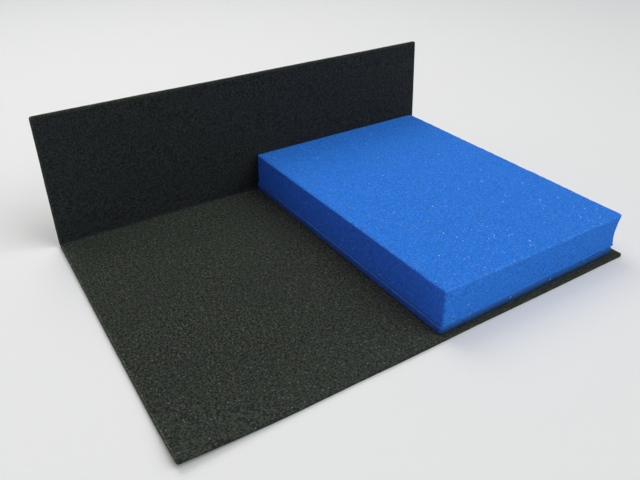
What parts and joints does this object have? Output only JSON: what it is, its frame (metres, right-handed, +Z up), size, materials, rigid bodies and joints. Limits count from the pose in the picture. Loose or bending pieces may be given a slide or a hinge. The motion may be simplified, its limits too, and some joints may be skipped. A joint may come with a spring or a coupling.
{
  "type": "case foam insert",
  "caption": "Case foam insert: a foam sheet folded into a base and an upright back, with a foam block on a thin backing layer over the right half of the base and a free bay beside it.",
  "frame": {"origin": "Bottom centre of the box round the whole insert, on the surface that the liner rests on", "axes": "+X along the fold from the free bay to the block, +Y from the open front to the back leaf, +Z up"},
  "size_m": [0.43, 0.3106, 0.1285],
  "materials": {
    "charcoal_sheet_foam": "matt foam sheet with dark pores and a fine pale speckle",
    "blue_block_foam": "soft open-cell foam, evenly grained, with small glints where cells are cut",
    "blue_backing_foam": "soft open-cell foam, evenly grained, a little denser than the block"
  },
  "bodies": {
    "root": {"folded_liner": "charcoal_sheet_foam", "block_backing": "blue_backing_foam", "foam_block": "blue_block_foam"}
  },
  "joints": []
}
